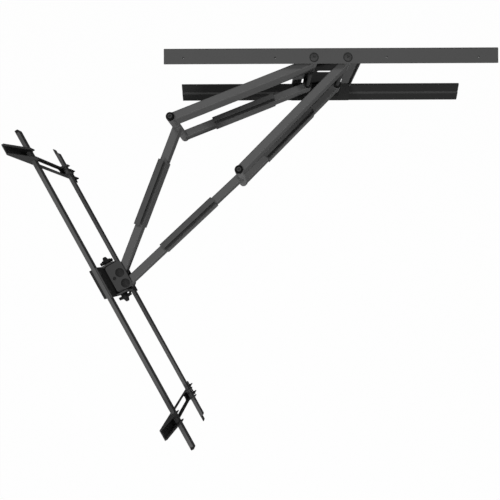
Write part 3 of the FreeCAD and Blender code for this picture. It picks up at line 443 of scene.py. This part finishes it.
print("a bead is", round(2000 * BEAD_RADIUS, 1), "mm thick, rippled every", round(2000 * BEAD_STEP, 1), "mm")

# %% [markdown]
# A tube's end meets its barrel along two arcs, above and below, and two upright lines at the sides. The
# level of each arc is read from the tube's own box, and the arcs stop where the tube's corner rounds off.

# %% The four beads round a tube's end
BARREL_RADIUS = 0.012
TUBE_CORNER = 0.003
UPPER_TUBE_HALF = 0.011
FORE_TUBE_HALF = 0.0115


def flat_direction(start, end):
    step = end - start
    step.z = 0
    return step.normalized()


def turned(direction, angle):
    return Matrix.Rotation(angle, 3, "Z") @ direction


def weld_tube_end(shape, barrel, facing, tube, half_width):
    low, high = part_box(tube)
    spread = math.asin((half_width - TUBE_CORNER / 2) / BARREL_RADIUS)
    side_angle = math.asin(half_width / BARREL_RADIUS)
    first = turned(facing, -spread)
    for level in (low.z, high.z):
        centre = Vector((barrel.x, barrel.y, level))
        lay_bead(shape, centre + first * BARREL_RADIUS, first, upwards, 2 * spread * BARREL_RADIUS,
                 centre=centre, turn=2 * spread)
    height = high.z - low.z - 2 * TUBE_CORNER
    for angle in (-side_angle, side_angle):
        outwards = turned(facing, angle)
        start = Vector((barrel.x, barrel.y, high.z - TUBE_CORNER)) + outwards * BARREL_RADIUS
        lay_bead(shape, start, outwards, upwards.cross(outwards), height, run=-upwards * height)


for side, (shoulder, elbow, head_pivot) in arms.items():
    out = flat_direction(shoulder, elbow)
    shape = bmesh.new()
    for tube in (side + "_upper_arm_top_tube", side + "_upper_arm_lower_tube"):
        weld_tube_end(shape, shoulder, out, tube, UPPER_TUBE_HALF)
        weld_tube_end(shape, elbow, -out, tube, UPPER_TUBE_HALF)
    finish_piece(side + "_upper_arm_welds", shape, steel_coat, side + "_upper_arm")
    out = flat_direction(elbow, head_pivot)
    shape = bmesh.new()
    weld_tube_end(shape, elbow, out, side + "_forearm_tube", FORE_TUBE_HALF)
    weld_tube_end(shape, head_pivot, -out, side + "_forearm_tube", FORE_TUBE_HALF)
    finish_piece(side + "_forearm_welds", shape, steel_coat, side + "_forearm")

# %% [markdown]
# ## Stitch welds on the wall frame
# The shelf under the shoulders is stitched to the spine with short runs, and each upright has one run at its
# foot. The same bead is laid along a straight line. Short stitches keep a long seam from warping the sheet.

# %% Stitches along the shelf and the uprights
STITCH_LENGTH = 0.018
STITCH_COUNT = 3
SHEET = 0.003

along_wall = Vector((1, 0, 0))
out_of_wall = Vector((0, -1, 0))
shape = bmesh.new()
shelf_low, shelf_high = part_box("pivot_shelf")
seam = Vector((shelf_low.x, shelf_high.y, shelf_high.z - SHEET / 2))
pitch = (shelf_high.x - shelf_low.x) / STITCH_COUNT
for i in range(STITCH_COUNT):
    start = seam + along_wall * (pitch * (i + 0.5) - STITCH_LENGTH / 2)
    lay_bead(shape, start, out_of_wall, upwards, STITCH_LENGTH, run=along_wall * STITCH_LENGTH)
for upright in ("left_upright", "right_upright"):
    low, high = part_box(upright)
    start = Vector(((low.x + high.x - STITCH_LENGTH) / 2, -2 * SHEET, low.z))
    lay_bead(shape, start, out_of_wall, upwards, STITCH_LENGTH, run=along_wall * STITCH_LENGTH)
finish_piece("wall_frame_stitches", shape, black_coat, "wall_frame")

# %% [markdown]
# ## Slots beside the spine
# Seen from above, the gap between the spine and each upright is closed but for a short slot with a round
# end near the foot. A strip of the same sheet fills the upper part. Its lower edge is one vertex spun half a
# turn, which is then extruded up, pressed flat at the top and given the sheet's thickness.

# %% Strips that close the gaps
SLOT_TOP = -0.033
SLOT_STEPS = 12
SEAM = 0.0001

spine_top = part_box("pivot_spine")[1].z
shape = bmesh.new()
for upright, shelf_edge in (("left_upright", shelf_low.x), ("right_upright", shelf_high.x)):
    low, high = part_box(upright)
    inner_edge = min(low.x, high.x, key=abs)
    left, right = sorted((inner_edge, shelf_edge))
    corner = shape.verts.new((left + SEAM, -SHEET - SEAM, SLOT_TOP))
    centre = Vector(((left + right) / 2, corner.co.y, SLOT_TOP))
    bmesh.ops.spin(shape, geom=[corner], cent=centre, axis=(0, 1, 0), angle=math.pi, steps=SLOT_STEPS)
    arch = [edge for edge in shape.edges if edge.is_wire]
    raised = verts_of(bmesh.ops.extrude_edge_only(shape, edges=arch)["geom"])
    bmesh.ops.scale(shape, vec=(1, 1, 0), space=Matrix.Translation((0, 0, -spine_top)), verts=raised)
sheet = bmesh.ops.extrude_face_region(shape, geom=shape.faces[:])
bmesh.ops.translate(shape, vec=(0, 2 * SEAM - SHEET, 0), verts=verts_of(sheet["geom"]))
finish_piece("upright_slot_strips", shape, steel_coat, "wall_frame")

# %% [markdown]
# ## Washers under the shoulder bolts
# A plain washer spreads the load of each button head on the rail. It shows as a thin dark rim. Its section
# is a small rectangle with a broken corner, spun once round the bolt and closed with use_merge.

# %% Two washers
WASHER_BORE = 0.0098
WASHER_RADIUS = 0.0122
WASHER_THICKNESS = 0.0014
WASHER_EDGE = WASHER_THICKNESS / 3
FULL_TURN = 2 * math.pi
ROUND_STEPS = 48


def spun_section(shape, points):
    verts = [shape.verts.new((radius, 0, level)) for radius, level in points]
    edges = [shape.edges.new(pair) for pair in zip(verts, verts[1:])]
    bmesh.ops.spin(shape, geom=verts + edges, cent=(0, 0, 0), axis=upwards, angle=FULL_TURN,
                   steps=ROUND_STEPS, use_merge=True)


def washer_section():
    return [(WASHER_BORE, 0), (WASHER_RADIUS, 0), (WASHER_RADIUS, WASHER_THICKNESS - WASHER_EDGE),
            (WASHER_RADIUS - WASHER_EDGE, WASHER_THICKNESS), (WASHER_BORE, WASHER_THICKNESS),
            (WASHER_BORE, 0)]


def add_copy(collected, shape, place):
    bmesh.ops.transform(shape, matrix=place, verts=shape.verts)
    mesh = bpy.data.meshes.new("copy")
    shape.to_mesh(mesh)
    shape.free()
    collected.from_mesh(mesh)
    bpy.data.meshes.remove(mesh)


rail_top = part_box("top_wall_rail")[1].z
washers = bmesh.new()
for shoulder, _, _ in arms.values():
    shape = bmesh.new()
    spun_section(shape, washer_section())
    add_copy(washers, shape, Matrix.Translation((shoulder.x, shoulder.y, rail_top)))
finish_piece("shoulder_washers", washers, dark_steel, "wall_frame")

# %% [markdown]
# ## Plates with a bore
# A nut and a star knob have the same make: a flat plate with a shaped outline and a round hole. A circle is
# pulled to the outline by a rule that gives a radius for each angle, a second circle is the bore, and
# bridge_loops fills the ring between them. Extruding that ring gives the plate. The edges to be rounded
# later are the sharp flat ones that lie outside the bore.

# %% A plate whose outline is a rule
BORE_MARGIN = 1.05
RIM_ANGLE = 1.0


def bored_plate(outline, bore, thickness, sides):
    shape = bmesh.new()
    outer = bmesh.ops.create_circle(shape, segments=sides, radius=1.0)["verts"]
    for vert in outer:
        vert.co *= outline(math.atan2(vert.co.y, vert.co.x))
    bmesh.ops.create_circle(shape, segments=sides, radius=bore)
    bmesh.ops.bridge_loops(shape, edges=shape.edges[:])
    made = bmesh.ops.extrude_face_region(shape, geom=shape.faces[:])
    bmesh.ops.translate(shape, vec=(0, 0, thickness), verts=verts_of(made["geom"]))
    return shape


def outer_rims(shape, bore):
    rims = []
    for edge in shape.edges:
        flat = abs(edge.verts[0].co.z - edge.verts[1].co.z) < MERGE_DISTANCE
        outside = all(vert.co.xy.length > bore * BORE_MARGIN for vert in edge.verts)
        if flat and outside and edge.calc_face_angle(0) > RIM_ANGLE:
            rims.append(edge)
    return rims


print("rims turn by more than", round(math.degrees(RIM_ANGLE)), "degrees")

# %% [markdown]
# ## Nuts
# The nuts under the shelf and under the head are hexagons with chamfered rims. The rule for a hexagon is the
# distance to its flat side, divided by the cosine of the angle from that side's middle.

# %% Chamfered nuts
NUT_ACROSS_FLATS = 0.0173
NUT_HEIGHT = 0.008
NUT_BORE = 0.00602
NUT_CHAMFER = 0.0007
NUT_SIDES = 48


def hexagon_rule(angle):
    from_middle = (angle % (FULL_TURN / 6)) - FULL_TURN / 12
    return NUT_ACROSS_FLATS / 2 / math.cos(from_middle)


def nut_set(name, node, body, places):
    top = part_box(node)[1].z
    nuts = bmesh.new()
    for place in places:
        shape = bored_plate(hexagon_rule, NUT_BORE, NUT_HEIGHT, NUT_SIDES)
        bmesh.ops.bevel(shape, geom=outer_rims(shape, NUT_BORE), offset=NUT_CHAMFER, affect="EDGES",
                        segments=2, profile=0.5, material=-1)
        add_copy(nuts, shape, Matrix.Translation((place.x, place.y, top - NUT_HEIGHT)))
    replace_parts(finish_piece(name, nuts, dark_steel, body), node)


shoulders = [shoulder for shoulder, _, _ in arms.values()]
head_pivots = [head_pivot for _, _, head_pivot in arms.values()]
nut_set("chamfered_shoulder_nuts", "shoulder_nuts", "wall_frame", shoulders)
nut_set("chamfered_head_nuts", "head_nuts", "head", head_pivots)

# %% [markdown]
# ## Star knobs
# The two tension knobs are moulded stars with five pointed lobes. A raised cosine gives the lobes, and a
# power above one makes them narrower than the valleys. The rims are rounded with a bevel. The hub that
# meets the washer and the tapered boss on the outside are one spun section, in the same piece.

# %% Rounded star knobs
KNOB_LOBES = 5
KNOB_TIP = 0.0202
KNOB_VALLEY = 0.0122
KNOB_POINT = 2.2
KNOB_SIDES = 100
KNOB_BORE = 0.0052
KNOB_BLIND = 0.0142
KNOB_HUB = 0.004
KNOB_STAR = 0.009
KNOB_ROUNDING = 0.0018
KNOB_FROM_AXLE = 0.0487
HUB_RADIUS = 0.01
HUB_EDGE = 0.0006
COLLAR_RADIUS = 0.0105
COLLAR_SINK = 0.001
# Radius of the boss, and its height above the star's face, from the collar to the tip.
BOSS_TAPER = [(0.0084, 0.0006), (0.0078, 0.002), (0.0055, 0.0088), (0.0046, 0.0102), (0.0028, 0.0108),
              (0, 0.0109)]


def standing_along(direction, place):
    return Matrix.Translation(place) @ direction.to_track_quat("Z", "Y").to_matrix().to_4x4()


def star_rule(angle):
    wave = 0.5 + 0.5 * math.cos(KNOB_LOBES * angle)
    return KNOB_VALLEY + (KNOB_TIP - KNOB_VALLEY) * wave ** KNOB_POINT


def boss_section():
    face = KNOB_HUB + KNOB_STAR
    bore = [(0, KNOB_BLIND), (KNOB_BORE, KNOB_BLIND), (KNOB_BORE, 0)]
    hub = [(HUB_RADIUS - HUB_EDGE, 0), (HUB_RADIUS, HUB_EDGE), (HUB_RADIUS, KNOB_HUB + COLLAR_SINK)]
    collar = [(COLLAR_RADIUS, face - COLLAR_SINK), (COLLAR_RADIUS, face)]
    return bore + hub + collar + [(radius, face + height) for radius, height in BOSS_TAPER]


for side, sign in (("left", -1), ("right", 1)):
    outwards = along_bars * sign
    shape = bored_plate(star_rule, KNOB_BORE, KNOB_STAR, KNOB_SIDES)
    bmesh.ops.bevel(shape, geom=outer_rims(shape, KNOB_BORE), offset=KNOB_ROUNDING, affect="EDGES",
                    segments=4, profile=0.5, material=-1, clamp_overlap=True)
    knob = bmesh.new()
    add_copy(knob, shape, Matrix.Translation(upwards * KNOB_HUB))
    spun_section(knob, boss_section())
    place = standing_along(outwards, axle_centre + outwards * KNOB_FROM_AXLE)
    bmesh.ops.transform(knob, matrix=place, verts=knob.verts)
    piece = finish_piece(side + "_star_knob", knob, black_plastic, side + "_knob")
    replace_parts(piece, side + "_tilt_knob")

# %% [markdown]
# ## Lock screws
# Each screen bracket is locked under the lower bar by a long screw. Its thread is a triangle spun many times
# round while it climbs by one pitch a turn, on a plain core. The head is a short cylinder with a round
# recess, made by an inset and an extrusion.

# %% Thread and head of a lock screw
SCREW_RADIUS = 0.0025
SCREW_PITCH = 0.0009
SCREW_LENGTH = 0.046
THREAD_STEPS = 14
THREAD_DEPTH = 0.6 * SCREW_PITCH
THREAD_SINK = 0.97
CORE_SIDES = 20
SCREW_HEAD_RADIUS = 0.0045
SCREW_HEAD = 0.0035
HEAD_SIDES = 32
HEAD_EDGE = 0.0006
RECESS_RIM = 0.0014
RECESS_DEPTH = 0.002


def cylinder(shape, radius, height, sides):
    bmesh.ops.create_cone(shape, cap_ends=True, segments=sides, radius1=radius, radius2=radius, depth=height,
                          matrix=Matrix.Translation(upwards * height / 2))


def threaded_screw():
    shape = bmesh.new()
    core = SCREW_RADIUS - THREAD_DEPTH
    root = core * THREAD_SINK
    turns = int(SCREW_LENGTH / SCREW_PITCH) - 1
    corners = [shape.verts.new(place) for place in
               ((root, 0, 0), (SCREW_RADIUS, 0, SCREW_PITCH / 2), (root, 0, SCREW_PITCH))]
    edges = [shape.edges.new((corners[i - 1], corners[i])) for i in range(3)]
    climb = upwards * SCREW_PITCH / THREAD_STEPS
    bmesh.ops.spin(shape, geom=corners + edges, cent=(0, 0, 0), axis=upwards, angle=FULL_TURN * turns,
                   dvec=climb, steps=THREAD_STEPS * turns)
    bmesh.ops.holes_fill(shape, edges=shape.edges, sides=3)
    cylinder(shape, core, SCREW_LENGTH, CORE_SIDES)
    return shape


def top_face(shape):
    return max(shape.faces, key=lambda face: face.calc_center_median().z)


def screw_head():
    shape = bmesh.new()
    cylinder(shape, SCREW_HEAD_RADIUS, SCREW_HEAD, HEAD_SIDES)
    bmesh.ops.bevel(shape, geom=list(top_face(shape).edges), offset=HEAD_EDGE, affect="EDGES", segments=2,
                    profile=0.5, material=-1)
    top = top_face(shape)
    bmesh.ops.inset_region(shape, faces=[top], thickness=RECESS_RIM)
    sunk = bmesh.ops.extrude_discrete_faces(shape, faces=[top])["faces"][0]
    bmesh.ops.translate(shape, vec=(0, 0, -RECESS_DEPTH), verts=sunk.verts)
    return shape


print("a lock screw has", int(SCREW_LENGTH / SCREW_PITCH) - 1, "turns of thread")

# %% [markdown]
# The seat of each screw is on the outer side of its bracket, at the height of the CAD screw. The seat's own
# axis points outwards along the bars, so the shank goes below the seat and the head stands on it.

# %% Two lock screws
BRACKET_SHIFT = 0.0105
BRACKET_REACH = 0.414
BRACKET_HALF = 0.015
SCREW_BEFORE_AXLE = 0.0225

for side, sign in (("left", -1), ("right", 1)):
    outwards = along_bars * sign
    low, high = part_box(side + "_lock_screw")
    bracket_centre = axle_centre + along_bars * (BRACKET_SHIFT + sign * BRACKET_REACH)
    screw_centre = bracket_centre - to_wall * SCREW_BEFORE_AXLE
    screw_centre.z = (low.z + high.z) / 2
    seat = standing_along(outwards, screw_centre + outwards * BRACKET_HALF)
    screw = bmesh.new()
    add_copy(screw, threaded_screw(), seat @ Matrix.Translation(-upwards * SCREW_LENGTH))
    add_copy(screw, screw_head(), seat)
    piece = finish_piece(side + "_threaded_lock_screw", screw, dark_steel, side + "_bracket")
    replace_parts(piece, side + "_lock_screw")

# %% [markdown]
# ## The room
# A pale floor lies well below the mount, as it would under a wall mount. For camera, glossy and
# transmitted rays most of it shines plain white; the rest is lit by the lamps and takes the mount's
# shadow.

# %% A white floor
FLOOR_SIZE = 12.0
FLOOR_DROP = 2.4
FLOOR_COLOUR = (0.86, 0.86, 0.86, 1)
FLOOR_ROUGHNESS = 0.9
WHITE_SHARE = 0.98


def seen_directly(tree):
    rays = add_node(tree, "ShaderNodeLightPath")
    first = add_node(tree, "ShaderNodeMath", operation="MAXIMUM")
    tree.links.new(rays.outputs["Is Camera Ray"], first.inputs[0])
    tree.links.new(rays.outputs["Is Glossy Ray"], first.inputs[1])
    second = add_node(tree, "ShaderNodeMath", operation="MAXIMUM")
    tree.links.new(first.outputs["Value"], second.inputs[0])
    tree.links.new(rays.outputs["Is Transmission Ray"], second.inputs[1])
    return second.outputs["Value"]


def white_floor_finish():
    material, tree, shader = new_finish("pale_floor")
    shader.inputs["Base Color"].default_value = FLOOR_COLOUR
    shader.inputs["Roughness"].default_value = FLOOR_ROUGHNESS
    shine = add_node(tree, "ShaderNodeEmission")
    share = add_node(tree, "ShaderNodeMath", operation="MULTIPLY")
    share.inputs[1].default_value = WHITE_SHARE
    tree.links.new(seen_directly(tree), share.inputs[0])
    mix = add_node(tree, "ShaderNodeMixShader")
    tree.links.new(share.outputs["Value"], mix.inputs["Fac"])
    tree.links.new(shader.outputs["BSDF"], mix.inputs[1])
    tree.links.new(shine.outputs["Emission"], mix.inputs[2])
    tree.links.new(mix.outputs["Shader"], tree.nodes["Material Output"].inputs["Surface"])
    return material


floor_level = cad_box[0][2] - FLOOR_DROP
floor_mesh = bpy.data.meshes.new("floor")
shape = bmesh.new()
bmesh.ops.create_grid(shape, x_segments=1, y_segments=1, size=FLOOR_SIZE)
bmesh.ops.translate(shape, vec=(0, 0, floor_level), verts=shape.verts)
shape.to_mesh(floor_mesh)
shape.free()
floor_mesh.materials.append(white_floor_finish())
floor = bpy.data.objects.new("floor", floor_mesh)
bpy.context.scene.collection.objects.link(floor)
print("floor at", round(floor_level, 3), "m")

# %% [markdown]
# The world is white for the same rays, so the picture has one white background. For all other rays it
# gives only a little light, which keeps the shaded sides of the mount dark.

# %% A white world
AMBIENT = 0.07

world = bpy.data.worlds.new("room")
bpy.context.scene.world = world
world.use_nodes = True
sky = world.node_tree.nodes["Background"]
strength = add_node(world.node_tree, "ShaderNodeMapRange")
strength.inputs["To Min"].default_value = AMBIENT
strength.inputs["To Max"].default_value = 1.0
world.node_tree.links.new(seen_directly(world.node_tree), strength.inputs["Value"])
world.node_tree.links.new(strength.outputs["Result"], sky.inputs["Strength"])
sky.inputs["Color"].default_value = (1, 1, 1, 1)
print("world light on the mount:", AMBIENT)

# %% [markdown]
# ## Lamps
# The tubes are brightest on the sides that face the lower right of the picture, and the sides of the bars
# that face the wall are nearly black. So one soft lamp stands at the front right. A wider one hangs at the
# back left, over the wall, and lights the flat tops. A weak one straight above reaches into the slots of the
# cable covers, and a low one at the left lights the screen side of the brackets.

# %% Four soft lamps
# Place from the mount's centre, power in watts, and size of each lamp.
LAMPS = {
    "front_right_lamp": ((1.5, -3.0, 2.2), 108.0, 1.0),
    "back_left_lamp": ((-1.3, 2.2, 3.3), 66.0, 1.4),
    "overhead_lamp": ((-0.2, 0.0, 3.3), 24.0, 1.0),
    "front_left_lamp": ((-3.0, -1.8, 0.3), 30.0, 1.2),
}


def soft_lamp(name, place, target, power, size):
    lamp = bpy.data.lights.new(name, "AREA")
    lamp.energy = power
    lamp.shape = "DISK"
    lamp.size = size
    stand = bpy.data.objects.new(name, lamp)
    stand.location = place
    stand.rotation_euler = (target - place).to_track_quat("-Z", "Y").to_euler()
    bpy.context.scene.collection.objects.link(stand)


mount_centre = (Vector(cad_box[0]) + Vector(cad_box[1])) / 2
for name, (offset, power, size) in LAMPS.items():
    soft_lamp(name, mount_centre + Vector(offset), mount_centre, power, size)
print(len(LAMPS), "lamps aim at", [round(v, 2) for v in mount_centre])

# %% [markdown]
# ## The camera
# The upright edges in the picture all run towards one point, so the camera looked straight down there.
# A 35 mm lens on a 36 mm sensor, 1.29 m above the top rail, gives the same spread. The picture's frame
# is a little off the lens axis, which two small shifts put right.

# %% Camera straight above
CAMERA_PLACE = (-0.1676, -0.5513)
CAMERA_ABOVE_RAIL = 1.293
CAMERA_ROLL = math.radians(-0.26)
NADIR_PIXEL = (268.9, 255.0)
PICTURE_SIDE = 500
SENSOR_MM = 36.0
LENS_MM = 35.0
FARTHEST = 40.0

lens = bpy.data.cameras.new("overhead_camera")
lens.sensor_width = SENSOR_MM
lens.lens = LENS_MM
lens.shift_x = 0.5 - NADIR_PIXEL[0] / PICTURE_SIDE
lens.shift_y = NADIR_PIXEL[1] / PICTURE_SIDE - 0.5
lens.clip_end = FARTHEST
camera = bpy.data.objects.new("overhead_camera", lens)
camera.location = (*CAMERA_PLACE, rail_top + CAMERA_ABOVE_RAIL)
camera.rotation_euler = (0, 0, CAMERA_ROLL)
bpy.context.scene.collection.objects.link(camera)
bpy.context.scene.camera = camera
bpy.context.scene.view_settings.view_transform = "Standard"
print("camera", round(camera.location.z, 3), "m up")
